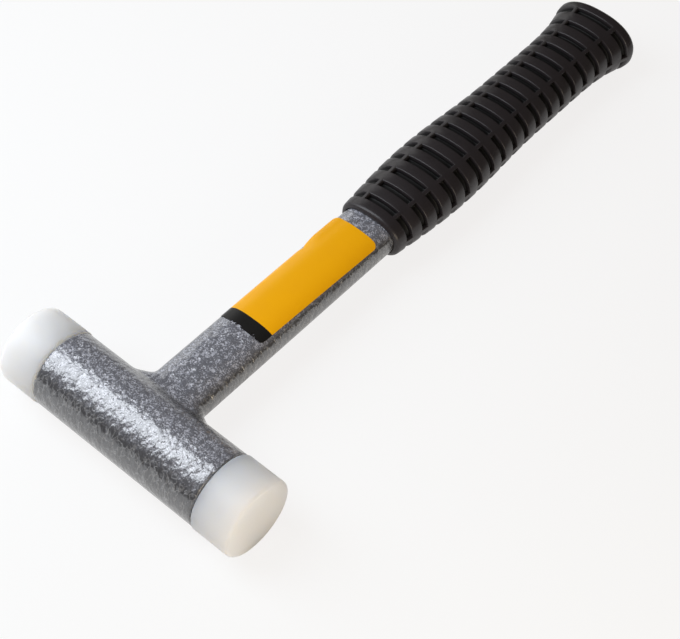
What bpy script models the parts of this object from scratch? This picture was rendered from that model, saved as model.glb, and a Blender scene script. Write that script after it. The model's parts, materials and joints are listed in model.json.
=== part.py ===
"""Dead blow hammer lying on its side: steel head, two nylon faces, loose shot, tube handle and rubber grip.

Units are metres and +Z is up. The hammer rests on its two round faces and on the flared end of its grip, so the
handle leans down a little towards that end. X runs along the head and +Y along the handle.
The handle's own shapes are drawn level, in a frame that starts at the head's centre, and an empty leans them.
"""

from math import acos, asin, cos, pi, radians, sin, sqrt

import bmesh
import bpy
from mathutils import Matrix

# Head
HEAD_DIAMETER = 0.0342
HEAD_LENGTH = 0.0855
HEAD_EDGE_ROUND = 0.0006
CHAMBER_WALL = 0.0042
SEAT_WALL = 0.0032
SPIGOT_LENGTH = 0.0100
PLATE_THICKNESS = 0.0025

# Nylon faces
FACE_STEP = 0.0004
FACE_LENGTH = 0.0190
FACE_EDGE_ROUND = 0.0022
FACE_BACK_CHAMFER = 0.0009
SPIGOT_LEAD_IN = 0.0008

# Shot: how far it slides each way, and how high it fills its chamber
SHOT_TRAVEL = 0.00695
SHOT_FILL = 0.62

# Handle tube
SHAFT_WIDTH = 0.0270
SHAFT_HEIGHT = 0.0160
SHAFT_WALL = 0.0016
SHAFT_SQUARENESS = 2.7

# Neck between head and tube
NECK_LENGTH = 0.0046
NECK_SPREAD = 0.0072
NECK_HOLLOW = 1.7
NECK_TOP_RISE = 0.0036
NECK_ROOT_SINK = 0.0005
NECK_PLUG_LENGTH = 0.0120
PLUG_LEAD_IN = 0.0008

# Rubber grip: rubber over the tube, across the width and across the height
HANDLE_REACH = 0.3099
GRIP_LENGTH = 0.1709
GRIP_SQUARENESS = 2.3
COLLAR_RUBBER = (0.0025, 0.0030)
BELLY_RUBBER = (0.0061, 0.0050)
WAIST_RUBBER = (0.0039, 0.0039)
RIM_RUBBER = (0.0088, 0.0070)
BELLY_FROM_LIP = 0.0470
WAIST_FROM_LIP = 0.1010
FLARE_LENGTH = 0.0450
FLARE_POWER = 3.4
LIP_ROUND = 0.0016
RIM_DEPTH = 0.0032
END_WALL = 0.0180

# Slots in the grip
SLOT_PITCH = 0.0092
SLOT_WIDTH = 0.0036
SLOT_DEPTH = 0.0024
SLOT_DRAFT = 0.0002
FIRST_SLOT_FROM_LIP = 0.0076
LAST_SLOT_FROM_RIM = 0.0045
WEB_ANGLE = radians(62)
WEB_HALF_ANGLE = radians(3.2)

# Label: how far it reaches to each side of the handle's middle, and where it starts and ends
LABEL_LEFT = 0.0129
LABEL_RIGHT = 0.0110
LABEL_FROM_NECK = 0.0363
LABEL_FROM_LIP = 0.0082
LABEL_THICKNESS = 0.00025
LABEL_CORNER = 0.0030

# Clearances
SEAT_GAP = 0.0003

# Facets
ROUND_STEPS = 64
OVAL_STEPS = 40
FILLET_STEPS = 6
EDGE_STEPS = 3
LABEL_STEPS = 14
TOP_SLOT_STEPS = 6
SIDE_SLOT_STEPS = 5
MERGE = 0.00001

# Worked out from the sizes above
HEAD_RADIUS = HEAD_DIAMETER / 2
FACE_RADIUS = HEAD_RADIUS + FACE_STEP
CHAMBER_RADIUS = HEAD_RADIUS - CHAMBER_WALL
SEAT_RADIUS = HEAD_RADIUS - SEAT_WALL
SEAT_DEPTH = SPIGOT_LENGTH + PLATE_THICKNESS + SEAT_GAP
CHAMBER_HALF = HEAD_LENGTH / 2 - SEAT_DEPTH
SHOT_LENGTH = 2 * (CHAMBER_HALF - SHOT_TRAVEL)
SHAFT_HALF = (SHAFT_WIDTH / 2, SHAFT_HEIGHT / 2)
NECK_END = HEAD_RADIUS + NECK_LENGTH
LIP = HANDLE_REACH - GRIP_LENGTH
TUBE_END = HANDLE_REACH - END_WALL
GRIP_END = HANDLE_REACH + RIM_DEPTH
RIM_HALF_HEIGHT = SHAFT_HALF[1] + RIM_RUBBER[1]
LEAN = asin((FACE_RADIUS - RIM_HALF_HEIGHT) / HANDLE_REACH)
HEAD_CENTRE = (0.0, (FACE_RADIUS - GRIP_END) / 2, FACE_RADIUS)


def clear_scene():
    for old in list(bpy.data.objects):
        bpy.data.objects.remove(old, do_unlink=True)


def new_collection(name):
    collection = bpy.data.collections.new(name)
    bpy.context.scene.collection.children.link(collection)
    return collection


def new_material(name, colour, roughness, metallic):
    material = bpy.data.materials.new(name)
    material.use_nodes = True
    shader = material.node_tree.nodes["Principled BSDF"]
    shader.inputs["Base Color"].default_value = (*colour, 1.0)
    shader.inputs["Roughness"].default_value = roughness
    shader.inputs["Metallic"].default_value = metallic
    material.diffuse_color = (*colour, 1.0)
    return material


def new_object(name, bm, collection, material=None, smooth_below=radians(35)):
    """Turn a bmesh into a named object, smooth except along its sharp edges."""
    mesh = bpy.data.meshes.new(name)
    bm.to_mesh(mesh)
    bm.free()
    mesh.shade_smooth()
    mesh.set_sharp_from_angle(angle=smooth_below)
    made = bpy.data.objects.new(name, mesh)
    collection.objects.link(made)
    if material:
        mesh.materials.append(material)
    return made


def hide_cutter(cutter):
    cutter.hide_render = True
    cutter.display_type = "WIRE"


def turned(name, profile, collection, material=None):
    """Spin a (radius, height) profile that runs from top to bottom about Z, then lay that axis along +X."""
    bm = bmesh.new()
    points = [bm.verts.new((radius, 0.0, height)) for radius, height in profile]
    for upper, lower in zip(points, points[1:]):
        bm.edges.new((upper, lower))
    made = new_object(name, bm, collection, material)
    screw = made.modifiers.new("turn", "SCREW")
    screw.steps = ROUND_STEPS
    screw.render_steps = ROUND_STEPS
    screw.use_merge_vertices = True
    screw.merge_threshold = MERGE
    made.rotation_euler = (0.0, pi / 2, 0.0)
    return made


def boolean(target, other, operation):
    cut = target.modifiers.new(other.name, "BOOLEAN")
    cut.operation = operation
    cut.object = other
    hide_cutter(other)


def arc(centre, radius, start, end, steps=FILLET_STEPS):
    """Points on a circle, both ends included."""
    angles = [start + (end - start) * k / steps for k in range(steps + 1)]
    return [(centre[0] + radius * cos(a), centre[1] + radius * sin(a)) for a in angles]


def even_angles(steps):
    return [2 * pi * k / steps for k in range(steps)]


def oval(along, half, squareness, angles):
    """One ring of a rounded oval across the handle: half is its half width and half height."""
    power = 2 / squareness
    ring = []
    for angle in angles:
        c, s = cos(angle), sin(angle)
        across = half[0] * abs(c) ** power * (1 if c >= 0 else -1)
        up = half[1] * abs(s) ** power * (1 if s >= 0 else -1)
        ring.append((across, along, up))
    return ring


def grow(half, amount):
    return (half[0] + amount, half[1] + amount)


def loft(rings, closed=False):
    """Skin a list of rings and give its faces row by row. Open ends are capped, a closed loft joins up instead."""
    bm = bmesh.new()
    loops = [[bm.verts.new(point) for point in ring] for ring in rings]
    pairs = list(zip(loops, loops[1:]))
    if closed:
        pairs.append((loops[-1], loops[0]))
    else:
        bm.faces.new(loops[0])
        bm.faces.new(loops[-1])
    count = len(loops[0])
    rows = []
    for near, far in pairs:
        nexts = [(k + 1) % count for k in range(count)]
        rows.append([bm.faces.new((near[k], near[n], far[n], far[k])) for k, n in enumerate(nexts)])
    bmesh.ops.recalc_face_normals(bm, faces=bm.faces)
    return bm, rows


def make_head(parts, cutters, handle, material):
    half = HEAD_LENGTH / 2
    edge = HEAD_EDGE_ROUND
    rim_top = arc((HEAD_RADIUS - edge, half - edge), edge, pi / 2, 0.0, EDGE_STEPS)
    rim_bottom = arc((HEAD_RADIUS - edge, edge - half), edge, 0.0, -pi / 2, EDGE_STEPS)
    head = turned("head_housing", [(0.0, half), *rim_top, *rim_bottom, (0.0, -half)], parts, material)
    head.location = HEAD_CENTRE

    neck = new_object("neck_cutter", loft(neck_rings())[0], cutters)
    neck.parent = handle
    boolean(head, neck, "UNION")

    past = half + SEAT_GAP
    bore_profile = [
        (0.0, past), (SEAT_RADIUS, past), (SEAT_RADIUS, CHAMBER_HALF), (CHAMBER_RADIUS, CHAMBER_HALF),
        (CHAMBER_RADIUS, -CHAMBER_HALF), (SEAT_RADIUS, -CHAMBER_HALF), (SEAT_RADIUS, -past), (0.0, -past),
    ]
    bore = turned("bore_cutter", bore_profile, cutters)
    bore.location = HEAD_CENTRE
    boolean(head, bore, "DIFFERENCE")
    return head


def neck_rings():
    """The flare from the head's flank to the tube, and the plug that the tube slides over."""
    angles = even_angles(OVAL_STEPS)
    root_height = SHAFT_HALF[1] + NECK_TOP_RISE
    root = sqrt(HEAD_RADIUS**2 - root_height**2) - NECK_ROOT_SINK
    places = [(0.0, NECK_SPREAD), (root, NECK_SPREAD)]
    for k in range(FILLET_STEPS + 1):
        share = k / FILLET_STEPS
        places.append((HEAD_RADIUS + NECK_LENGTH * share, NECK_SPREAD * (1 - share) ** NECK_HOLLOW))
    rings = []
    for along, spread in places:
        rise = NECK_TOP_RISE * min(1.0, (NECK_END - along) / (NECK_END - root)) ** 2
        half = (SHAFT_HALF[0] + spread, SHAFT_HALF[1] + rise)
        rings.append(oval(along, half, SHAFT_SQUARENESS, angles))
    plug = grow(SHAFT_HALF, -SHAFT_WALL - SEAT_GAP)
    plug_end = NECK_END + NECK_PLUG_LENGTH
    rings.append(oval(NECK_END, plug, SHAFT_SQUARENESS, angles))
    rings.append(oval(plug_end - PLUG_LEAD_IN, plug, SHAFT_SQUARENESS, angles))
    rings.append(oval(plug_end, grow(plug, -PLUG_LEAD_IN), SHAFT_SQUARENESS, angles))
    return rings


def make_shaft(parts, handle, material):
    angles = even_angles(OVAL_STEPS)
    inner = grow(SHAFT_HALF, -SHAFT_WALL)
    start = NECK_END + SEAT_GAP
    stations = [(start, SHAFT_HALF), (TUBE_END, SHAFT_HALF), (TUBE_END, inner), (start, inner)]
    rings = [oval(along, half, SHAFT_SQUARENESS, angles) for along, half in stations]
    shaft = new_object("shaft_tube", loft(rings, closed=True)[0], parts, material)
    shaft.parent = handle
    return shaft


def make_face(name, side, parts, material):
    """A nylon face: a round cap with a softened edge and the spigot that is pressed into the head."""
    spigot = SEAT_RADIUS - SEAT_GAP
    soft = FACE_EDGE_ROUND
    edge = arc((FACE_RADIUS - soft, FACE_LENGTH - soft), soft, pi / 2, 0.0)
    profile = [
        (0.0, FACE_LENGTH), *edge,
        (FACE_RADIUS, FACE_BACK_CHAMFER), (FACE_RADIUS - FACE_BACK_CHAMFER, 0.0), (spigot, 0.0),
        (spigot, SPIGOT_LEAD_IN - SPIGOT_LENGTH), (spigot - SPIGOT_LEAD_IN, -SPIGOT_LENGTH), (0.0, -SPIGOT_LENGTH),
    ]
    face = turned(name, profile, parts, material)
    offset = HEAD_LENGTH / 2 + SEAT_GAP
    face.location = (HEAD_CENTRE[0] + side * offset, HEAD_CENTRE[1], HEAD_CENTRE[2])
    face.rotation_euler = (0.0, side * pi / 2, 0.0)
    return face


def make_plate(name, side, parts, material):
    """A steel disc that closes one end of the shot chamber, against the step in the bore."""
    radius = SEAT_RADIUS - SEAT_GAP
    profile = [(0.0, PLATE_THICKNESS), (radius, PLATE_THICKNESS), (radius, 0.0), (0.0, 0.0)]
    plate = turned(name, profile, parts, material)
    offset = CHAMBER_HALF + SEAT_GAP
    plate.location = (HEAD_CENTRE[0] + side * offset, HEAD_CENTRE[1], HEAD_CENTRE[2])
    plate.rotation_euler = (0.0, side * pi / 2, 0.0)
    return plate


def make_shot(parts, material):
    """The loose shot, settled to a level top along the bottom of its chamber."""
    radius = CHAMBER_RADIUS - SEAT_GAP
    bm = bmesh.new()
    bmesh.ops.create_cone(
        bm, cap_ends=True, segments=ROUND_STEPS, radius1=radius, radius2=radius, depth=SHOT_LENGTH)
    bmesh.ops.rotate(bm, verts=bm.verts, matrix=Matrix.Rotation(pi / 2, 3, "Y"))
    level = radius * (2 * SHOT_FILL - 1)
    cut = bmesh.ops.bisect_plane(
        bm, geom=[*bm.verts, *bm.edges, *bm.faces], plane_co=(0.0, 0.0, level), plane_no=(0.0, 0.0, 1.0),
        clear_outer=True)
    rim = [item for item in cut["geom_cut"] if isinstance(item, bmesh.types.BMEdge)]
    bmesh.ops.holes_fill(bm, edges=rim)
    bmesh.ops.recalc_face_normals(bm, faces=bm.faces)
    shot = new_object("shot_charge", bm, parts, material)
    shot.location = HEAD_CENTRE
    return shot


def grip_half(along):
    """Half width and half height of the grip's outside at a place along the handle."""
    belly = LIP + BELLY_FROM_LIP
    waist = LIP + WAIST_FROM_LIP
    flare = HANDLE_REACH - FLARE_LENGTH
    if along < belly:
        share = sin(pi / 2 * (along - LIP) / (belly - LIP))
        start, end = COLLAR_RUBBER, BELLY_RUBBER
    elif along < waist:
        share = (1 - cos(pi * (along - belly) / (waist - belly))) / 2
        start, end = BELLY_RUBBER, WAIST_RUBBER
    elif along < flare:
        share = 0.0
        start, end = WAIST_RUBBER, RIM_RUBBER
    else:
        share = ((along - flare) / FLARE_LENGTH) ** FLARE_POWER
        start, end = WAIST_RUBBER, RIM_RUBBER
    return tuple(half + a + (b - a) * share for half, a, b in zip(SHAFT_HALF, start, end))


def slot_places():
    """The middle of each row of slots, spread evenly between the collar and the rim."""
    first = LIP + FIRST_SLOT_FROM_LIP
    last = HANDLE_REACH - LAST_SLOT_FROM_RIM
    gaps = round((last - first) / SLOT_PITCH)
    return [first + (last - first) * k / gaps for k in range(gaps + 1)]


def grip_angles():
    """Ring angles of the grip, with a flag for each segment: True over a slot, False over a web.

    The webs stand at the shoulders of the flat top and bottom, and along the parting line on both sides.
    """
    angles = []
    slotted = []
    half_turn = [
        (0.0, WEB_ANGLE, SIDE_SLOT_STEPS),
        (WEB_ANGLE, pi - WEB_ANGLE, TOP_SLOT_STEPS),
        (pi - WEB_ANGLE, pi, SIDE_SLOT_STEPS),
    ]
    for start, end, steps in half_turn + [(start + pi, end + pi, steps) for start, end, steps in half_turn]:
        first = start + WEB_HALF_ANGLE
        last = end - WEB_HALF_ANGLE
        angles += [first + (last - first) * k / steps for k in range(steps + 1)]
        slotted += [True] * steps + [False]
    return angles, slotted


def make_grip(parts, handle, material):
    """A moulded sleeve: blind bore for the tube, lofted outside, and rows of slots sunk between six webs."""
    angles, slotted = grip_angles()
    bore = grow(SHAFT_HALF, SEAT_GAP)
    rings = [oval(along, bore, SHAFT_SQUARENESS, angles) for along in (TUBE_END + SEAT_GAP, LIP)]
    outside = []
    for across, along in arc((0.0, LIP + LIP_ROUND), LIP_ROUND, -pi / 2, 0.0, EDGE_STEPS):
        outside.append((along, grow(grip_half(LIP), across - LIP_ROUND)))
    first_slot = len(rings) + len(outside)
    places = slot_places()
    for middle in places:
        for edge in (middle - SLOT_WIDTH / 2, middle + SLOT_WIDTH / 2):
            outside.append((edge, grip_half(edge)))
    for across, along in arc((0.0, HANDLE_REACH), RIM_DEPTH, 0.0, pi / 2):
        outside.append((along, grow(grip_half(HANDLE_REACH), across - RIM_DEPTH)))
    rings += [oval(along, half, GRIP_SQUARENESS, angles) for along, half in outside]
    bm, rows = loft(rings)
    slot_rows = [rows[first_slot + 2 * k] for k in range(len(places))]
    sunk = [face for row in slot_rows for face, under_slot in zip(row, slotted) if under_slot]
    bmesh.ops.inset_region(
        bm, faces=sunk, thickness=SLOT_DRAFT, depth=-SLOT_DEPTH, use_boundary=True, use_even_offset=True)
    grip = new_object("rubber_grip", bm, parts, material)
    grip.parent = handle
    return grip


def make_label(parts, handle, material):
    """The sticker: a flat sheet with round corners, folded over the crown of the tube."""
    start = NECK_END + LABEL_FROM_NECK
    end = LIP - LABEL_FROM_LIP
    bm = bmesh.new()
    bmesh.ops.create_grid(bm, x_segments=1, y_segments=1, size=0.5)
    bmesh.ops.scale(bm, vec=(LABEL_LEFT + LABEL_RIGHT, end - start, 1.0), verts=bm.verts)
    bmesh.ops.bevel(
        bm, geom=bm.verts[:], offset=LABEL_CORNER, offset_type="OFFSET", segments=FILLET_STEPS, profile=0.5,
        affect="VERTICES", material=-1)
    bmesh.ops.translate(bm, vec=((LABEL_RIGHT - LABEL_LEFT) / 2, (start + end) / 2, 0.0), verts=bm.verts)
    crown = grow(SHAFT_HALF, SEAT_GAP)
    right, left = (acos((reach / crown[0]) ** (SHAFT_SQUARENESS / 2)) for reach in (LABEL_RIGHT, LABEL_LEFT))
    folds = [right + (pi - left - right) * k / LABEL_STEPS for k in range(1, LABEL_STEPS)]
    for fold in oval(0.0, crown, SHAFT_SQUARENESS, folds):
        bmesh.ops.bisect_plane(
            bm, geom=[*bm.verts, *bm.edges, *bm.faces], plane_co=fold, plane_no=(1.0, 0.0, 0.0))
    for v in bm.verts:
        v.co.z = crown[1] * (1 - abs(v.co.x / crown[0]) ** SHAFT_SQUARENESS) ** (1 / SHAFT_SQUARENESS)
    label = new_object("handle_label", bm, parts, material)
    label.parent = handle
    sheet = label.modifiers.new("thickness", "SOLIDIFY")
    sheet.thickness = LABEL_THICKNESS
    sheet.offset = 1.0
    return label


def main():
    clear_scene()
    parts = new_collection("dead_blow_hammer")
    cutters = new_collection("cutters")
    handle = bpy.data.objects.new("handle_axis", None)
    handle.location = HEAD_CENTRE
    handle.rotation_euler = (-LEAN, 0.0, 0.0)
    parts.objects.link(handle)

    paint = new_material("hammertone_grey", (0.27, 0.29, 0.33), 0.38, 0.55)
    nylon = new_material("white_nylon", (0.80, 0.82, 0.83), 0.40, 0.0)
    rubber = new_material("black_rubber", (0.020, 0.020, 0.022), 0.62, 0.0)
    steel = new_material("plain_steel", (0.55, 0.56, 0.58), 0.35, 1.0)
    film = new_material("orange_label", (0.85, 0.42, 0.01), 0.35, 0.0)

    make_head(parts, cutters, handle, paint)
    make_shaft(parts, handle, paint)
    make_grip(parts, handle, rubber)
    make_label(parts, handle, film)
    make_shot(parts, steel)
    for end_name, side in (("front", 1), ("rear", -1)):
        make_face(end_name + "_face", side, parts, nylon)
        make_plate(end_name + "_plate", side, parts, steel)


main()
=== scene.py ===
# %% [markdown]
# # The finish of a dead blow hammer
#
# The frame that is loaded here already holds every piece of the hammer at its real size and place. What it
# lacks is the surface: a weld that flows, paint with its hammered skin, milky nylon, soft rubber edges and a
# worn label. This lesson makes those pieces one by one. Each new piece takes its place from the frame, so
# nothing is fitted by eye afterwards.

# %% Load the frame
import json
from math import asin, atan2, ceil, copysign, cos, pi, radians, sin, sqrt

import bmesh
import bpy
from mathutils import Matrix, Vector, noise


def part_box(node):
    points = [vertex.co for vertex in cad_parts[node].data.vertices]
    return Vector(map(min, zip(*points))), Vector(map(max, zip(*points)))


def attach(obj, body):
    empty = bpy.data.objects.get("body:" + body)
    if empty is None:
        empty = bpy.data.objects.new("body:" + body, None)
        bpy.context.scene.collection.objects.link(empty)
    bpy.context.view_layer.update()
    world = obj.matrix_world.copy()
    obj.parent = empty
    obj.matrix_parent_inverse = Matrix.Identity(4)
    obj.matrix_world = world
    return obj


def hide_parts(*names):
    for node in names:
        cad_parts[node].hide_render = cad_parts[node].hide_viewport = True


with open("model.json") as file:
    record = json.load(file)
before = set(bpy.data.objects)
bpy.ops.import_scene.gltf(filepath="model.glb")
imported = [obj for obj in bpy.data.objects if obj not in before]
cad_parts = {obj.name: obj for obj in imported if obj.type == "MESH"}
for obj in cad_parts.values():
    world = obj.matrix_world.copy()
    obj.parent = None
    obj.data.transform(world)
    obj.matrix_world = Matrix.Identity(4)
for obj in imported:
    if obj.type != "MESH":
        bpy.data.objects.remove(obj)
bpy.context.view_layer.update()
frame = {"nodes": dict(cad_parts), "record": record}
print("frame:", sorted(frame["nodes"]))

# %% [markdown]
# ## Where things are
#
# Two mounts sit in the middle of the striking faces and one on the end of the grip. Together they give the
# head's centre and the line of the handle, which leans a little because the hammer rests on its faces and on
# the wide end of its grip. Handle pieces are drawn level, with Y running along the handle, and one matrix puts
# them in place.

# %% Read the main places from the frame
mounts = {mount["name"]: mount for mount in frame["record"]["mounts"]}
front_end, rear_end = (Vector(mounts[name]["pos_m"]) for name in ("front_strike_face", "rear_strike_face"))
head_centre = (front_end + rear_end) / 2
grip_axis = Vector(mounts["grip_end"]["axis"])
grip_end = (Vector(mounts["grip_end"]["pos_m"]) - head_centre).dot(grip_axis)
handle_place = Matrix.Translation(head_centre) @ Matrix.Rotation(asin(grip_axis.z), 4, "X")
head_place = Matrix.Translation(head_centre)


def along_handle(y):
    """How far along the handle a place of the frame is, from the head's centre."""
    return (y - head_centre.y) / grip_axis.y


head_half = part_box("head_housing")[1].x
head_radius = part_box("head_housing")[1].z - head_centre.z
face_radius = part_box("front_face")[1].z - head_centre.z
shaft_half_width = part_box("shaft_tube")[1].x
tube_start = along_handle(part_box("shaft_tube")[0].y)
tube_end = along_handle(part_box("shaft_tube")[1].y)
lip = along_handle(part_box("rubber_grip")[0].y)
print(f"head {head_half * 2000:.1f} mm long, handle ends {grip_end * 1000:.1f} mm from its centre")

# %% [markdown]
# ## Shader sums as Python
#
# A finish is easier to read as a sum than as a tangle of wires. The class Wire holds one output of a node, and
# adding or multiplying two of them adds the Math node that does it. The class Finish holds one material. Its
# method node() makes any other node: settings first, then the values or wires for its sockets.


# %% Wire and Finish
class Wire:
    """An output of a shader node that takes part in Python sums."""

    def __init__(self, finish, socket):
        self.finish = finish
        self.socket = socket

    def sum(self, operation, first, second):
        return self.finish.node("Math", {"operation": operation}, {0: first, 1: second})

    def __add__(self, other):
        return self.sum("ADD", self, other)

    def __radd__(self, other):
        return self.sum("ADD", other, self)

    def __sub__(self, other):
        return self.sum("SUBTRACT", self, other)

    def __rsub__(self, other):
        return self.sum("SUBTRACT", other, self)

    def __mul__(self, other):
        return self.sum("MULTIPLY", self, other)

    def __rmul__(self, other):
        return self.sum("MULTIPLY", other, self)


class Finish:
    """One material while it is being wired."""

    def __init__(self, name):
        self.material = bpy.data.materials.new(name)
        self.material.use_nodes = True
        self.tree = self.material.node_tree
        self.shader = self.tree.nodes["Principled BSDF"]

    def plug(self, socket, value):
        if isinstance(value, Wire):
            self.tree.links.new(value.socket, socket)
        else:
            socket.default_value = value

    def node(self, kind, settings=None, sockets=None, output=0):
        made = self.tree.nodes.new("ShaderNode" + kind)
        for key, value in (settings or {}).items():
            setattr(made, key, value)
        for key, value in (sockets or {}).items():
            self.plug(made.inputs[key], value)
        return Wire(self, made.outputs[output])

    def place(self):
        return self.node("TexCoord", output="Object")

    def noise(self, size, detail=2.0, vector=None):
        """Soft noise whose lumps are about size across, from 0 to 1."""
        sockets = {"Vector": vector or self.place(), "Scale": 1 / size, "Detail": detail}
        return self.node("TexNoise", {}, sockets)

    def mix(self, share, first, second):
        """A colour between two others."""
        return self.node("Mix", {"data_type": "RGBA"}, {0: share, 6: first, 7: second}, output=2)

    def step(self, value, low, high):
        """0 below low, 1 above high and a smooth rise between them."""
        settings = {"interpolation_type": "SMOOTHSTEP"}
        return self.node("MapRange", settings, {"Value": value, "From Min": low, "From Max": high})

    def bump(self, height, depth):
        return self.node("Bump", {}, {"Height": height, "Distance": depth})

    def done(self, **sockets):
        """Set the shader's own sockets and hand the material over."""
        for key, value in sockets.items():
            self.plug(self.shader.inputs[key.replace("_", " ")], value)
        print("finish:", self.material.name)
        return self.material


def rgb(red, green, blue):
    return (red, green, blue, 1.0)


# %% [markdown]
# ## Small mesh helpers
#
# Most pieces start as a ring or a profile in a bmesh. oval_ring() squares a circle into the handle's rounded
# oval, and join_rings() skins one ring to the next. piece() turns the result into an object that rides on its
# body.


# %% Mesh helpers
SAME_LINE = 1e-6  # how near counts as on the same ring or seam
SAME_POINT = 1e-7


def oval_point(angle, half_width, half_height, squareness):
    """A point of a squared oval: across, up, and the direction that faces out there."""
    c, s = cos(angle), sin(angle)
    across = copysign(abs(c) ** (2 / squareness), c)
    up = copysign(abs(s) ** (2 / squareness), s)
    out = Vector((
        copysign(abs(across) ** (squareness - 1), c) / half_width, 0.0,
        copysign(abs(up) ** (squareness - 1), s) / half_height)).normalized()
    return half_width * across, half_height * up, out


def oval_turn(across, up, half_width, half_height, squareness):
    """The angle that oval_point() takes to a point of the oval."""
    c = copysign(abs(across / half_width) ** (squareness / 2), across)
    s = copysign(abs(up / half_height) ** (squareness / 2), up)
    return atan2(s, c)


def oval_ring(bm, along, half_width, half_height, squareness, steps):
    """A closed ring across the handle, as a list of its edges."""
    ring = bmesh.ops.create_circle(bm, segments=steps, radius=1.0)["verts"]
    for k, v in enumerate(ring):
        across, up, _ = oval_point(2 * pi * k / steps, half_width, half_height, squareness)
        v.co = (across, along, up)
    return list({edge for v in ring for edge in v.link_edges})


def join_rings(bm, rings):
    for near, far in zip(rings, rings[1:]):
        bmesh.ops.bridge_loops(bm, edges=near + far)


def close_up(bm, edges):
    """Cap the open ends and turn every face outwards."""
    for ring in edges:
        bmesh.ops.holes_fill(bm, edges=ring)
    bmesh.ops.recalc_face_normals(bm, faces=bm.faces)


def spun(profile, steps):
    """A solid turned about X from a few (along, radius) points that start and end on the axis."""
    bm = bmesh.new()
    points = [bm.verts.new((along, 0.0, radius)) for along, radius in profile]
    line = [bm.edges.new(pair) for pair in zip(points, points[1:])]
    bmesh.ops.spin(
        bm, geom=points + line, cent=(0.0, 0.0, 0.0), axis=(1.0, 0.0, 0.0), angle=2 * pi, steps=steps,
        use_merge=True)
    bmesh.ops.remove_doubles(bm, verts=bm.verts, dist=SAME_POINT)
    bmesh.ops.recalc_face_normals(bm, faces=bm.faces)
    return bm


def circle_edges(bm, along, radius):
    """The edges of one circle of a spun solid."""
    def on_circle(v):
        from_axis = sqrt(v.co.y ** 2 + v.co.z ** 2)
        return abs(v.co.x - along) < SAME_LINE and abs(from_axis - radius) < SAME_LINE
    return [edge for edge in bm.edges if all(on_circle(v) for v in edge.verts)]


def soften(bm, edges, width, segments):
    bmesh.ops.bevel(
        bm, geom=edges, offset=width, offset_type="OFFSET", segments=segments, profile=0.5,
        affect="EDGES", clamp_overlap=True, material=-1)


def new_object(name, bm):
    mesh = bpy.data.meshes.new(name)
    bm.to_mesh(mesh)
    bm.free()
    made = bpy.data.objects.new(name, mesh)
    bpy.context.scene.collection.objects.link(made)
    return made


def settle(made):
    """The object's mesh as its modifiers leave it, in a new bmesh. The object itself goes."""
    shaped = made.evaluated_get(bpy.context.evaluated_depsgraph_get())
    bm = bmesh.new()
    bm.from_mesh(shaped.data)
    bpy.data.objects.remove(made)
    return bm


def piece(name, bm, place, material, body, stands_for, sharp=40):
    bmesh.ops.transform(bm, matrix=place, verts=bm.verts)
    made = new_object(name, bm)
    made.data.materials.append(material)
    made.data.shade_smooth()
    made.data.set_sharp_from_angle(angle=radians(sharp))
    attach(made, body)
    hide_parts(*stands_for)
    print(f"{name}: {len(made.data.polygons)} faces")


# %% [markdown]
# ## Hammertone paint
#
# Hammertone paint pulls itself into a skin of shallow dimples while it dries, and its metal flake gathers in
# them. A smooth Voronoi pattern has just such cells. It is bent by a little noise first, because even cells
# look machine made. The cells drive both the bump and the flake, so that light and colour agree. The base
# colour is lighter on faces that look up and much darker on the flanks, and the pale flake shows only on faces
# that look up: painted light on the top and painted shade on the flanks. The flanks get pale wrinkles that
# follow the way the wet paint ran. Their bump is real relief, and their pale colour is a painted reflection
# of the table.

# %% Make the paint
DIMPLE = 0.0022
DIMPLE_BEND = 0.0018
DIMPLE_DEPTH = 0.00042
PIT = 0.0010
FLAKE = 0.00065
WRINKLE = 0.0026
SAG = 0.40
CLOUD = 0.010


def make_paint():
    paint = Finish("dimpled_paint")
    sagged = paint.node("Mapping", {}, {"Vector": paint.place(), "Scale": (1.0, 1.0, SAG)})
    wander = paint.node("TexNoise", {}, {"Vector": sagged, "Scale": 1 / DIMPLE}, output="Color")
    bent = paint.node(
        "VectorMath", {"operation": "MULTIPLY_ADD"}, {0: wander, 1: (DIMPLE_BEND,) * 3, 2: sagged})
    cells = paint.node(
        "TexVoronoi", {"feature": "SMOOTH_F1"}, {"Vector": bent, "Scale": 1 / DIMPLE, "Smoothness": 0.8})
    pits = paint.noise(PIT, 2.0, sagged)
    clouds = paint.noise(CLOUD, 2.0)
    facing = paint.node("TexCoord", output="Normal")
    upward = paint.node("SeparateXYZ", {}, {"Vector": facing}, output="Z")
    # Faces that look up get a lighter base and pale flake, the flanks a dark base: painted light and painted
    # shade.
    up_facing_painted_light = paint.step(upward, 0.6, 0.96)
    flake_and_painted_top_light = paint.step(paint.noise(FLAKE, 3.0) - 0.3 * cells, 0.32, 0.54) * up_facing_painted_light
    folds = paint.noise(WRINKLE, 2.0, sagged) - 0.5
    swirl = paint.node("Math", {"operation": "ABSOLUTE"}, {0: folds})
    wrinkles_and_painted_reflection = (1 - paint.step(swirl, 0.0, 0.05)) * (1 - up_facing_painted_light)
    # Dark flank colour and lighter top colour are painted shade and painted light.
    ground_with_painted_shade = paint.mix(up_facing_painted_light, rgb(0.050, 0.053, 0.061), rgb(0.140, 0.148, 0.176))
    tone = paint.mix(flake_and_painted_top_light, ground_with_painted_shade, rgb(0.510, 0.530, 0.610))
    # Pale wrinkle colour on the flanks is a painted reflection of the table; the wrinkles' bump is real relief.
    tone = paint.mix(0.75 * wrinkles_and_painted_reflection, tone, rgb(0.205, 0.210, 0.222))
    tone = paint.mix(0.2 * clouds, tone, rgb(0.105, 0.111, 0.130))
    return paint.done(
        Base_Color=tone,
        Roughness=0.12 + 0.08 * pits,
        Normal=paint.bump(cells + 0.45 * pits + 0.12 * wrinkles_and_painted_reflection, DIMPLE_DEPTH),
        IOR=2.0,
        Coat_Weight=0.3,
        Coat_Roughness=0.10)


paint = make_paint()

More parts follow.
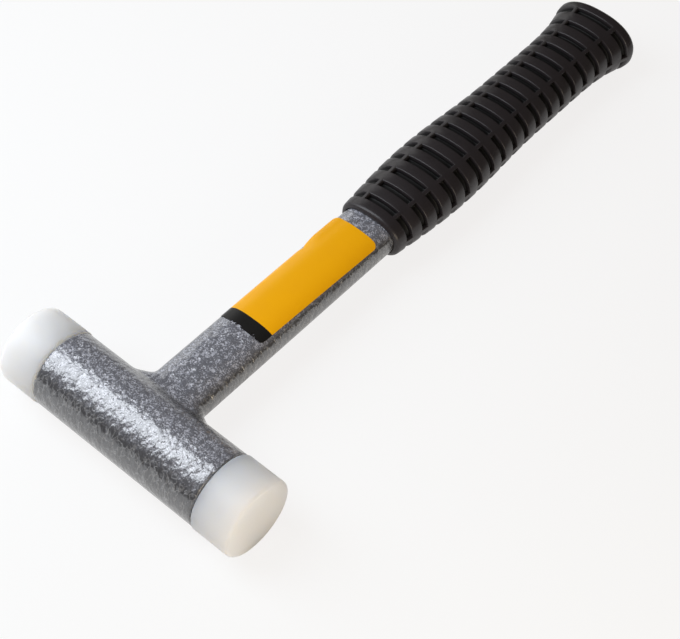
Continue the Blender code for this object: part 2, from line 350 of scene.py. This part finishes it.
# %% [markdown]
# ## The head, its weld and the tube
#
# On the real hammer the tube is welded to the head and the paint covers both, so no seam shows. Two solids are
# joined by a Boolean, and a fine Remesh gives the joint an even skin. Smoothing only the points near the joint
# melts the crease into a weld. The bores that the nylon and the shot need are cut last, so their edges stay
# crisp.

# %% Weld the head to the tube
SHAFT_HALF_HEIGHT = 0.0080
SHAFT_WALL = 0.0016
SHAFT_SQUARENESS = 2.7
HEAD_EDGE = 0.0006
NECK_LENGTH = 0.0046
NECK_SPREAD = 0.0072
NECK_HOLLOW = 1.7
NECK_RISE = 0.0036
NECK_ROOT = 0.55  # of the head's radius
NECK_RISE_ROOT = 0.7  # of the head's radius
NECK_RINGS = 6
SKIN = 0.00062
WELD_REACH = 0.0065
WELD_PASSES = 24
RIPPLE = 0.000025
RIPPLE_SIZE = 0.0022
HEAD_STEPS = 128
TUBE_STEPS = 72


def head_solid():
    bm = spun([
        (-head_half, 0.0), (-head_half, head_radius), (head_half, head_radius), (head_half, 0.0)], HEAD_STEPS)
    for end in (-head_half, head_half):
        soften(bm, circle_edges(bm, end, head_radius), HEAD_EDGE, 3)
    return bm


def handle_solid():
    """The flared neck and the tube's outside, from inside the head to the tube's far end."""
    bm = bmesh.new()
    neck_end = head_radius + NECK_LENGTH
    rise_length = neck_end - NECK_RISE_ROOT * head_radius
    places = [(NECK_ROOT * head_radius, 0.0)]
    places += [(head_radius + NECK_LENGTH * k / NECK_RINGS, k / NECK_RINGS) for k in range(NECK_RINGS + 1)]
    rings = []
    for along, share in places + [(tube_end, 1.0)]:
        spread = NECK_SPREAD * (1 - share) ** NECK_HOLLOW
        swell = NECK_RISE * min(1.0, (neck_end - along) / rise_length) ** 2 if share < 1 else 0.0
        half_width, half_height = shaft_half_width + spread, SHAFT_HALF_HEIGHT + swell
        rings.append(oval_ring(bm, along, half_width, half_height, SHAFT_SQUARENESS, TUBE_STEPS))
    join_rings(bm, rings)
    close_up(bm, (rings[0], rings[-1]))
    bmesh.ops.transform(bm, matrix=head_place.inverted() @ handle_place, verts=bm.verts)
    return bm


def near_weld(v):
    """True for a point near the line where the tube's outline meets the head's flank."""
    from_head = abs(sqrt(v.co.y ** 2 + v.co.z ** 2) - head_radius)
    across, up = abs(v.co.x / shaft_half_width), abs(v.co.z / SHAFT_HALF_HEIGHT)
    squared = across ** SHAFT_SQUARENESS + up ** SHAFT_SQUARENESS
    from_tube = (squared ** (1 / SHAFT_SQUARENESS) - 1) * SHAFT_HALF_HEIGHT
    return v.co.y > 0 and from_head < WELD_REACH and from_tube < WELD_REACH


def weld():
    made = new_object("weld", head_solid())
    tube = new_object("tube", handle_solid())
    join = made.modifiers.new("join", "BOOLEAN")
    join.operation = "UNION"
    join.object = tube
    skin = made.modifiers.new("skin", "REMESH")
    skin.mode = "VOXEL"
    skin.voxel_size = SKIN
    bm = settle(made)
    bpy.data.objects.remove(tube)
    joint = [v for v in bm.verts if near_weld(v)]
    for _ in range(WELD_PASSES):
        bmesh.ops.smooth_vert(bm, verts=joint, factor=0.5, use_axis_x=True, use_axis_y=True, use_axis_z=True)
    bm.normal_update()
    for v in bm.verts:
        v.co += v.normal * RIPPLE * noise.noise(v.co / RIPPLE_SIZE)
    print(f"weld: {len(joint)} of {len(bm.verts)} points smoothed")
    return bm


body_of_steel = weld()

# %% [markdown]
# The head is hollow and so is the tube. The cutters are turned or skinned like everything else, a Boolean takes
# them away, and the part that shows between head and nylon keeps a sharp edge.

# %% Cut the bores
SEAT_WALL = 0.0032
CHAMBER_WALL = 0.0042
PLUG_LENGTH = 0.0120
CUT_PAST = 1.02  # the cutters reach a little past the ends
BORE_STEPS = 96
TUBE_BORE_STEPS = 64
seat_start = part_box("front_plate")[0].x


def bore_solid():
    seat, chamber = head_radius - SEAT_WALL, head_radius - CHAMBER_WALL
    past = head_half * CUT_PAST
    return spun([
        (-past, 0.0), (-past, seat), (-seat_start, seat), (-seat_start, chamber), (seat_start, chamber),
        (seat_start, seat), (past, seat), (past, 0.0)], BORE_STEPS)


def tube_bore():
    bm = bmesh.new()
    half_width, half_height = shaft_half_width - SHAFT_WALL, SHAFT_HALF_HEIGHT - SHAFT_WALL
    rings = [
        oval_ring(bm, along, half_width, half_height, SHAFT_SQUARENESS, TUBE_BORE_STEPS)
        for along in (tube_start + PLUG_LENGTH, tube_end * CUT_PAST)]
    join_rings(bm, rings)
    close_up(bm, rings)
    bmesh.ops.transform(bm, matrix=head_place.inverted() @ handle_place, verts=bm.verts)
    return bm


def hollow(bm):
    made = new_object("hollow", bm)
    cutters = [new_object("bore", bore_solid()), new_object("tube_bore", tube_bore())]
    for cutter in cutters:
        cut = made.modifiers.new(cutter.name, "BOOLEAN")
        cut.object = cutter
    bm = settle(made)
    for cutter in cutters:
        bpy.data.objects.remove(cutter)
    return bm


piece(
    "painted_steel", hollow(body_of_steel), head_place, paint, "hammer",
    ["head_housing", "shaft_tube"])

# %% [markdown]
# ## Nylon faces
#
# The faces are turned from milky natural nylon. Light goes deep into it and comes out softened and a little
# warmer, so the finish scatters light all through. A long soft noise keeps it from looking like one flat white.

# %% Make the nylon
FACE_EDGE = 0.0016
BACK_CHAMFER = 0.0009
SPIGOT_CHAMFER = 0.0008
SEAT_GAP = 0.0003
MILK = 0.018
NYLON_GRAIN = 0.0007


def make_nylon():
    nylon = Finish("white_nylon")
    milk = nylon.noise(MILK, 2.0)
    fine = nylon.noise(NYLON_GRAIN, 3.0)
    tone = nylon.mix(milk, rgb(0.675, 0.697, 0.724), rgb(0.715, 0.737, 0.764))
    return nylon.done(
        Base_Color=tone,
        Roughness=0.42 + 0.08 * fine,
        Normal=nylon.bump(fine, 0.00001),
        Subsurface_Weight=1.0,
        Subsurface_Radius=(1.0, 0.9, 0.75),
        Subsurface_Scale=0.035,
        IOR=1.45)


nylon = make_nylon()


def make_face(node, side):
    low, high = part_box(node)
    back, spigot_end, front = head_half + SEAT_GAP, low.x, high.x
    if side < 0:
        spigot_end, front = -high.x, -low.x
    spigot = head_radius - SEAT_WALL - SEAT_GAP
    bm = spun([
        (spigot_end, 0.0), (spigot_end, spigot), (back, spigot), (back, face_radius), (front, face_radius),
        (front, 0.0)], HEAD_STEPS)
    soften(bm, circle_edges(bm, spigot_end, spigot), SPIGOT_CHAMFER, 1)
    soften(bm, circle_edges(bm, back, face_radius), BACK_CHAMFER, 3)
    soften(bm, circle_edges(bm, front, face_radius), FACE_EDGE, 8)
    turn = Matrix.Rotation(0.0 if side > 0 else pi, 4, "Z")
    piece(node.replace("face", "nylon"), bm, head_place @ turn, nylon, "hammer", [node])


make_face("front_face", 1)
make_face("rear_face", -1)

# %% [markdown]
# ## Rubber grip
#
# The grip is a moulded sleeve with eighteen rows of slots, and narrow webs split each row into six. It is laid
# out flat like an unrolled sleeve, where every slot is a plain rectangle of the grid: those faces are sunk and
# their rims softened. Then the sheet is rolled round the handle and its two ends are closed. Its long sides
# meet in the middle of a web, where nothing is cut, so that they match point for point. Rolling last keeps the
# cutting simple, however the handle swells and flares.

# %% The sleeve's outline along the handle
RIM_ROUND = 0.0032
GRIP_SQUARENESS = 2.3
FLARE_POWER = 3.4
reach = grip_end - RIM_ROUND
OUTLINE = [  # place along the handle, and half width and half height there
    (lip, 0.0160, 0.0110),
    (lip + 0.0470, 0.0196, 0.0130),
    (lip + 0.1010, 0.0174, 0.0119),
    (reach - 0.0450, 0.0174, 0.0119),
    (reach, 0.0223, 0.0150),
]


def grip_half(along):
    """Half width and half height of the sleeve's outside: a swell, a waist and a flare."""
    along = min(max(along, lip), reach)
    stretch = next(k for k in range(len(OUTLINE) - 1) if along <= OUTLINE[k + 1][0])
    (start, *first), (end, *second) = OUTLINE[stretch:stretch + 2]
    share = (along - start) / (end - start)
    if stretch == 0:
        ease = sin(pi / 2 * share)
    elif stretch == len(OUTLINE) - 2:
        ease = share ** FLARE_POWER
    else:
        ease = (1 - cos(pi * share)) / 2
    return [a + (b - a) * ease for a, b in zip(first, second)]


# %% Lay the sleeve out flat
ROWS = 18
FIRST_ROW = lip + 0.0076
LAST_ROW = reach - 0.0045
SLOT_HALF = 0.0018
SLOT_DEPTH = 0.0024
SLOT_DRAFT = 0.0002
SLOT_RIM = 0.00034
SLOT_FILLET = 0.0004
WEB_TURN = radians(62)
WEB_HALF = radians(3.2)
TURN_STEP = radians(5.5)
LIP_PLAIN = 0.0030  # room for the lip's round
FLAT = 0.02  # width of the flat sheet for one radian


def turn_lines():
    """Angles of the sheet's lines round the handle, and whether each strip between two is slotted."""
    lines, slotted = [0.0], [False]
    webs = [0.0, WEB_TURN, pi - WEB_TURN, pi, pi + WEB_TURN, 2 * pi - WEB_TURN, 2 * pi]
    for start, end in zip(webs, webs[1:]):
        first, last = start + WEB_HALF, end - WEB_HALF
        steps = ceil((last - first) / TURN_STEP)
        lines += [first + (last - first) * k / steps for k in range(steps + 1)]
        slotted += [True] * steps + [False]
    return lines + [2 * pi], slotted


def row_lines():
    """Places of the sheet's lines along the handle, and for each strip whether it is a row of slots."""
    lines, slotted = [lip, lip + LIP_PLAIN], [False]
    for k in range(ROWS):
        middle = FIRST_ROW + (LAST_ROW - FIRST_ROW) * k / (ROWS - 1)
        lines += [middle - SLOT_HALF, middle + SLOT_HALF]
        slotted += [False, True]
        if k < ROWS - 1:
            lines.append(middle + (LAST_ROW - FIRST_ROW) / (ROWS - 1) / 2)
            slotted.append(False)
    return lines + [grip_end], slotted + [False]


def flat_sleeve():
    turns, turn_slotted = turn_lines()
    rows, row_slotted = row_lines()
    bm = bmesh.new()
    bmesh.ops.create_grid(bm, x_segments=len(turns) - 1, y_segments=len(rows) - 1, size=0.5)
    for v in bm.verts:
        v.co.x = turns[round((v.co.x + 0.5) * (len(turns) - 1))] * FLAT
        v.co.y = rows[round((v.co.y + 0.5) * (len(rows) - 1))]
    slots = []
    for face in bm.faces:
        middle = face.calc_center_median()
        turn = sum(middle.x > line * FLAT for line in turns) - 1
        row = sum(middle.y > line for line in rows) - 1
        if turn_slotted[turn] and row_slotted[row]:
            slots.append(face)
    walls = bmesh.ops.inset_region(
        bm, faces=slots, thickness=SLOT_DRAFT, depth=-SLOT_DEPTH, use_boundary=True,
        use_even_offset=True)["faces"]
    wall_edges = {edge for wall in walls for edge in wall.edges}
    rims, feet = (
        [edge for edge in wall_edges if all(abs(v.co.z + depth) < SAME_POINT for v in edge.verts)]
        for depth in (0.0, SLOT_DEPTH))
    soften(bm, feet, SLOT_FILLET, 2)
    soften(bm, rims, SLOT_RIM, 3)
    sunk = bm.verts.layers.float.new("sunk")
    for v in bm.verts:
        v[sunk] = -v.co.z / SLOT_DEPTH
    print(f"sleeve: {len(slots)} sunk faces, {len(rims)} rim edges")
    return bm


sleeve = flat_sleeve()

# %% Roll the sleeve round the handle and close its ends
LIP_ROUND = 0.0018
TUBE_GAP = 0.0003
RIM_SHARE = 0.98  # the round stops just short of the flare


def roll(bm):
    for v in bm.verts:
        half_width, half_height = grip_half(v.co.y)
        across, up, out = oval_point(v.co.x / FLAT, half_width, half_height, GRIP_SQUARENESS)
        v.co = Vector((across, v.co.y, up)) + out * v.co.z
    bmesh.ops.remove_doubles(bm, verts=bm.verts, dist=SAME_LINE)
    bm.normal_update()


def end_loop(bm, along):
    return [edge for edge in bm.edges if all(abs(v.co.y - along) < SAME_LINE for v in edge.verts)]


def next_ring(bm, ring):
    """A copy of a ring of edges that faces join to it: its points and its edges."""
    made = bmesh.ops.extrude_edge_only(bm, edges=ring)["geom"]
    points = {item for item in made if isinstance(item, bmesh.types.BMVert)}
    return points, [edge for edge in bm.edges if points.issuperset(edge.verts)]


def close_sleeve(bm):
    lip_edge, rim_edge = end_loop(bm, lip), end_loop(bm, grip_end)
    bmesh.ops.holes_fill(bm, edges=rim_edge)
    points, mouth = next_ring(bm, lip_edge)
    for v in points:
        turn = oval_turn(v.co.x, v.co.z, *grip_half(lip), GRIP_SQUARENESS)
        v.co.x, v.co.z, _ = oval_point(
            turn, shaft_half_width + TUBE_GAP, SHAFT_HALF_HEIGHT + TUBE_GAP, SHAFT_SQUARENESS)
    points, bottom = next_ring(bm, mouth)
    for v in points:
        v.co.y = tube_end + TUBE_GAP
    close_up(bm, [bottom])
    soften(bm, lip_edge, LIP_ROUND, 5)
    soften(bm, rim_edge, RIM_SHARE * RIM_ROUND, 7)


roll(sleeve)
close_sleeve(sleeve)

# %% [markdown]
# Moulded rubber is nearly black with a dull sheen. Fine grain breaks the sheen up. Handling polishes the raised
# places and most of all the rims of the slots, while the slots themselves stay dull. Deep in the slots the base
# colour turns near black, which is painted shade in the recesses.

# %% Make the rubber
RUBBER_GRAIN = 0.0004
RUBBER_HAZE = 0.009


def make_rubber():
    rubber = Finish("moulded_rubber")
    grain = rubber.noise(RUBBER_GRAIN, 3.0)
    haze = rubber.noise(RUBBER_HAZE, 3.0)
    sunk = rubber.node("Attribute", {"attribute_name": "sunk"}, output="Fac")
    tone = rubber.mix(haze, rgb(0.0125, 0.0102, 0.0125), rgb(0.0215, 0.0180, 0.0215))
    # Near-black base colour deep in the slots: painted shade.
    tone = rubber.mix(rubber.step(sunk, 0.2, 0.9), tone, rgb(0.002, 0.002, 0.002))
    rim = rubber.step(sunk, 0.0, 0.1) * (1 - rubber.step(sunk, 0.2, 0.5))
    return rubber.done(
        Base_Color=tone,
        Roughness=0.48 + 0.12 * haze,
        Coat_Weight=0.45 * (1 - rubber.step(sunk, 0.3, 0.7)) + 0.55 * rim,
        Normal=rubber.bump(grain, 0.00003),
        IOR=1.33,
        Coat_Roughness=0.25)


rubber = make_rubber()
piece("slotted_grip", sleeve, handle_place, rubber, "hammer", ["rubber_grip"])

# %% [markdown]
# ## Label
#
# The sticker is a thin film: yellow orange with a black band at its end, and no words. It is cut flat with
# round corners, folded over the tube and given its thickness. One corner has come loose, and the edge is nicked
# where that starts.

# %% Fold the label over the tube
LABEL_LEFT = 0.0126
LABEL_RIGHT = 0.0110
LABEL_SKEW = radians(1.06)
LABEL_CORNER = 0.0026
LABEL_FILM = 0.00012
LABEL_GAP = 0.00002
FOLD_START = radians(24)
FOLD_TURN = radians(138)
FOLD_STRIPS = 40
SLICE = 0.0014
SLICES = 56
PEEL = 0.0009
PEEL_START = 0.1085
PEEL_LENGTH = 0.009
PEEL_FOLD = 0.0070
PEEL_EDGE = 0.0128
PEEL_OUT = 0.6
NICK = 0.0011
NICK_FOLD = 0.0095
NICK_EDGE = 0.0125
NICK_HALF = 0.0021
label_start = along_handle(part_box("handle_label")[0].y)
label_end = along_handle(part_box("handle_label")[1].y)


def rise(value, low, high):
    """0 below low, 1 above high and a smooth rise between them."""
    share = min(max((value - low) / (high - low), 0.0), 1.0)
    return share * share * (3 - 2 * share)


def slice_up(bm, places, direction):
    for place in places:
        bmesh.ops.bisect_plane(
            bm, geom=[*bm.verts, *bm.edges, *bm.faces], plane_co=direction * place, plane_no=direction)


def flat_label():
    middle = Vector(((LABEL_RIGHT - LABEL_LEFT) / 2, (label_start + label_end) / 2, 0.0))
    bm = bmesh.new()
    bmesh.ops.create_grid(bm, x_segments=1, y_segments=1, size=0.5)
    bmesh.ops.scale(bm, vec=(LABEL_LEFT + LABEL_RIGHT, label_end - label_start, 1.0), verts=bm.verts)
    bmesh.ops.bevel(
        bm, geom=bm.verts[:], offset=LABEL_CORNER, offset_type="OFFSET", segments=8, profile=0.5,
        affect="VERTICES", material=-1)
    bmesh.ops.rotate(bm, verts=bm.verts, matrix=Matrix.Rotation(-LABEL_SKEW, 3, "Z"))
    bmesh.ops.translate(bm, vec=middle, verts=bm.verts)
    return bm


def fold_label(bm):
    lift = LABEL_GAP + LABEL_FILM  # the sheet is the film's outer face, and its thickness goes inwards
    half_width, half_height = shaft_half_width + lift, SHAFT_HALF_HEIGHT + lift
    turns = [FOLD_START + FOLD_TURN * k / FOLD_STRIPS for k in range(FOLD_STRIPS + 1)]
    folds = [oval_point(turn, half_width, half_height, SHAFT_SQUARENESS)[0] for turn in turns]
    slice_up(bm, folds, Vector((1, 0, 0)))
    slice_up(bm, [label_start + SLICE * k for k in range(SLICES)], Vector((0, 1, 0)))
    for v in bm.verts:
        loose = rise(v.co.y, PEEL_START, PEEL_START + PEEL_LENGTH) * rise(-v.co.x, PEEL_FOLD, PEEL_EDGE)
        nick = rise(-v.co.x, NICK_FOLD, NICK_EDGE) * (1 - rise(abs(v.co.y - PEEL_START), 0.0, NICK_HALF))
        v.co.x += NICK * nick
        inner = 1 - min(1.0, abs(v.co.x / half_width)) ** SHAFT_SQUARENESS
        v.co.z = half_height * inner ** (1 / SHAFT_SQUARENESS) + PEEL * loose
        v.co.x -= PEEL_OUT * PEEL * loose
    bm.normal_update()
    bmesh.ops.solidify(bm, geom=bm.faces[:], thickness=LABEL_FILM)
    return bm


# %% Make the film
BAND_END = 0.0068
BAND_BLUR = 0.0002
WEAR = 0.0022
WEAR_BLUR = 0.0003
FILM_HAZE = 0.010
CHIP = 0.0016
FILM_WAVE = 0.004


def make_film():
    film = Finish("printed_film")
    along = film.node("SeparateXYZ", {}, {"Vector": film.place()}, output="Y")
    from_end = along - (head_centre.y + label_start * grip_axis.y)
    haze = film.noise(FILM_HAZE, 3.0)
    chips = film.noise(CHIP, 3.0)
    yellow = film.mix(haze, rgb(0.99, 0.475, 0.002), rgb(0.94, 0.43, 0.002))
    band = film.step(from_end, BAND_END, BAND_END + BAND_BLUR)
    tone = film.mix(band, rgb(0.010, 0.010, 0.010), yellow)
    worn = film.step(from_end - WEAR * film.step(chips, 0.45, 0.75), 0.0, WEAR_BLUR)
    return film.done(
        Base_Color=tone,
        Roughness=0.30 + 0.12 * haze,
        Alpha=worn,
        Specular_IOR_Level=0.25,
        Normal=film.bump(film.noise(FILM_WAVE, 2.0), 0.00004))


film = make_film()
piece(
    "wrapped_label", fold_label(flat_label()), handle_place, film, "hammer",
    ["handle_label"])

# %% [markdown]
# ## What is inside
#
# The shot is a heap of steel balls, and two discs keep it in its chamber. None of it shows, but it moves with
# the sliding body. Balls stacked in the closest packing fill the same room as the plain lump in the frame.

# %% Make plain steel
STEEL_GRAIN = 0.0006
STAIN = 0.006


def make_steel():
    steel = Finish("plain_steel")
    grain = steel.noise(STEEL_GRAIN, 3.0)
    stain = steel.noise(STAIN, 3.0)
    tone = steel.mix(stain, rgb(0.50, 0.51, 0.53), rgb(0.42, 0.42, 0.43))
    return steel.done(
        Base_Color=tone,
        Metallic=1.0,
        Roughness=0.28 + 0.18 * stain,
        Normal=steel.bump(grain, 0.00001))


steel = make_steel()
for node in ("front_plate", "rear_plate"):
    frame["nodes"][node].data.materials.clear()
    frame["nodes"][node].data.materials.append(steel)

# %% Pour the shot
BALL = 0.0020
BALL_SHARE = 0.995  # neighbours don't quite touch
SHOT_REACH = 7


def pour_shot():
    low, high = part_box("shot_charge")
    middle = (low + high) / 2
    room = head_radius - CHAMBER_WALL - SEAT_GAP - BALL
    bm = bmesh.new()
    layer_rise, row_step = 2 * BALL * sqrt(2 / 3), 2 * BALL * sqrt(3) / 2
    count = 0
    for layer in range(ceil((high.z - low.z) / layer_rise)):
        up = low.z + BALL + layer * layer_rise
        for row in range(-SHOT_REACH, SHOT_REACH + 1):
            side = row * row_step + (layer % 2) * row_step / 3
            for k in range(-SHOT_REACH, SHOT_REACH + 1):
                along = (2 * k + row % 2 + layer % 2) * BALL
                inside = Vector((0.0, side, up - head_centre.z)).length < room
                if inside and abs(along) < (high.x - low.x) / 2 - BALL and up < high.z - BALL:
                    place = Matrix.Translation((middle.x + along, middle.y + side, up))
                    bmesh.ops.create_uvsphere(
                        bm, u_segments=8, v_segments=6, radius=BALL * BALL_SHARE, matrix=place)
                    count += 1
    print("shot:", count, "balls")
    return bm


piece(
    "steel_shot", pour_shot(), Matrix.Identity(4), steel, "shot", ["shot_charge"],
    sharp=180)

# %% [markdown]
# ## Table, light and camera
#
# The hammer lies on a white table. A large soft light hangs above it on the left, a pale card stands farther
# left and a small warm light fills in from the right. The table looks white to the camera and in reflections.
# Part of what the camera sees is still the lit surface, so the shadow stays.

# %% Lay the table
TABLE_HALF = 12.0
SHADOW_SHARE = 0.15
GLOSSY_SHARE = 0.85
TABLE_DROP = 0.0001


def make_table():
    table = Finish("white_table")
    ray = table.node("LightPath")
    seen = [Wire(table, ray.socket.node.outputs[name])
            for name in ("Is Camera Ray", "Is Glossy Ray", "Is Transmission Ray")]
    lit = table.node("BsdfDiffuse", {}, {"Color": rgb(0.90, 0.88, 0.86)})
    cool = table.node("BsdfDiffuse", {}, {"Color": rgb(0.82, 0.94, 1.00)})
    # The table's glow darkens towards +X: painted falloff of the light across the table.
    across = table.node("SeparateXYZ", {}, {"Vector": table.place()}, output="X")
    pale = table.mix(table.step(across, -0.15, 0.55), rgb(1.0, 0.985, 0.98), rgb(0.94, 0.91, 0.89))
    glow = table.node("Emission", {}, {"Color": pale})
    white = table.node("MixShader", {}, {0: SHADOW_SHARE, 1: glow, 2: cool})
    both = table.node("MixShader", {}, {0: seen[0] + GLOSSY_SHARE * seen[1] + seen[2], 1: lit, 2: white})
    table.tree.links.new(both.socket, table.tree.nodes["Material Output"].inputs["Surface"])
    table.tree.nodes.remove(table.shader)
    return table.material


def lay_table():
    bm = bmesh.new()
    bmesh.ops.create_grid(bm, x_segments=1, y_segments=1, size=TABLE_HALF)
    bmesh.ops.translate(bm, vec=(0.0, 0.0, -TABLE_DROP), verts=bm.verts)
    table = new_object("table", bm)
    table.data.materials.append(make_table())
    print("table laid")


lay_table()

# %% Hang the lights
SURROUNDINGS = (0.12, 0.10, 0.08)
FAR_AWAY = (0.84, 0.825, 0.815)
LIGHTS = [  # name, direction from the head, distance, width, height, brightness, colour
    ("softbox", (-0.54, -0.25, 0.80), 0.56, 0.39, 0.56, 4.75, (0.89, 0.94, 1.00)),
    ("left_card", (-0.91, 0.22, 0.35), 0.90, 1.20, 0.44, 1.3, (0.99, 0.99, 0.98)),
    ("right_fill", (0.92, -0.25, 0.29), 0.42, 0.34, 0.20, 4.3, (1.00, 0.85, 0.66)),
]


def hang_light(name, direction, distance, width, height, brightness, colour):
    lamp = bpy.data.lights.new(name, "AREA")
    lamp.shape = "RECTANGLE"
    lamp.size = width
    lamp.size_y = height
    lamp.energy = brightness * pi * width * height
    lamp.color = colour
    lamp_object = bpy.data.objects.new(name, lamp)
    lamp_object.location = head_centre + Vector(direction).normalized() * distance
    lamp_object.rotation_mode = "QUATERNION"
    lamp_object.rotation_quaternion = Vector(direction).to_track_quat("Z", "Y")
    bpy.context.scene.collection.objects.link(lamp_object)
    print(name, "hung", distance, "m away")


for light in LIGHTS:
    hang_light(*light)


def light_room():
    """A dim room for the light, and a pale one for the camera where it looks past the table."""
    room = bpy.data.worlds.new("room")
    room.use_nodes = True
    tree = room.node_tree
    dim = tree.nodes["Background"]
    dim.inputs["Color"].default_value = rgb(*SURROUNDINGS)
    pale = tree.nodes.new("ShaderNodeBackground")
    pale.inputs["Color"].default_value = rgb(*FAR_AWAY)
    ray = tree.nodes.new("ShaderNodeLightPath")
    both = tree.nodes.new("ShaderNodeMixShader")
    tree.links.new(ray.outputs["Is Camera Ray"], both.inputs[0])
    tree.links.new(dim.outputs[0], both.inputs[1])
    tree.links.new(pale.outputs[0], both.inputs[2])
    tree.links.new(both.outputs[0], tree.nodes["World Output"].inputs["Surface"])
    bpy.context.scene.world = room
    print("room lit")


light_room()

# %% Place the camera
CAMERA_FROM_HEAD = Vector((0.26519, -0.22054, 0.51578))
CAMERA_AZIMUTH = radians(37.704)
CAMERA_ELEVATION = radians(52.466)
CAMERA_ROLL = radians(3.559)
FOCAL_PIXELS = 1574.17
FRAME_WIDTH = 680


def place_camera():
    lens = bpy.data.cameras.new("camera")
    lens.sensor_width = 36.0
    lens.lens = FOCAL_PIXELS / FRAME_WIDTH * lens.sensor_width
    camera = bpy.data.objects.new("camera", lens)
    camera.location = head_centre + CAMERA_FROM_HEAD
    back = Vector((
        sin(CAMERA_AZIMUTH) * cos(CAMERA_ELEVATION), -cos(CAMERA_AZIMUTH) * cos(CAMERA_ELEVATION),
        sin(CAMERA_ELEVATION)))
    camera.rotation_mode = "QUATERNION"
    tilt = Matrix.Rotation(CAMERA_ROLL, 3, "Z").to_quaternion()
    camera.rotation_quaternion = back.to_track_quat("Z", "Y") @ tilt
    bpy.context.scene.collection.objects.link(camera)
    bpy.context.scene.camera = camera
    print("camera", [round(x, 4) for x in camera.location])


place_camera()
bpy.context.scene.view_settings.view_transform = "Standard"
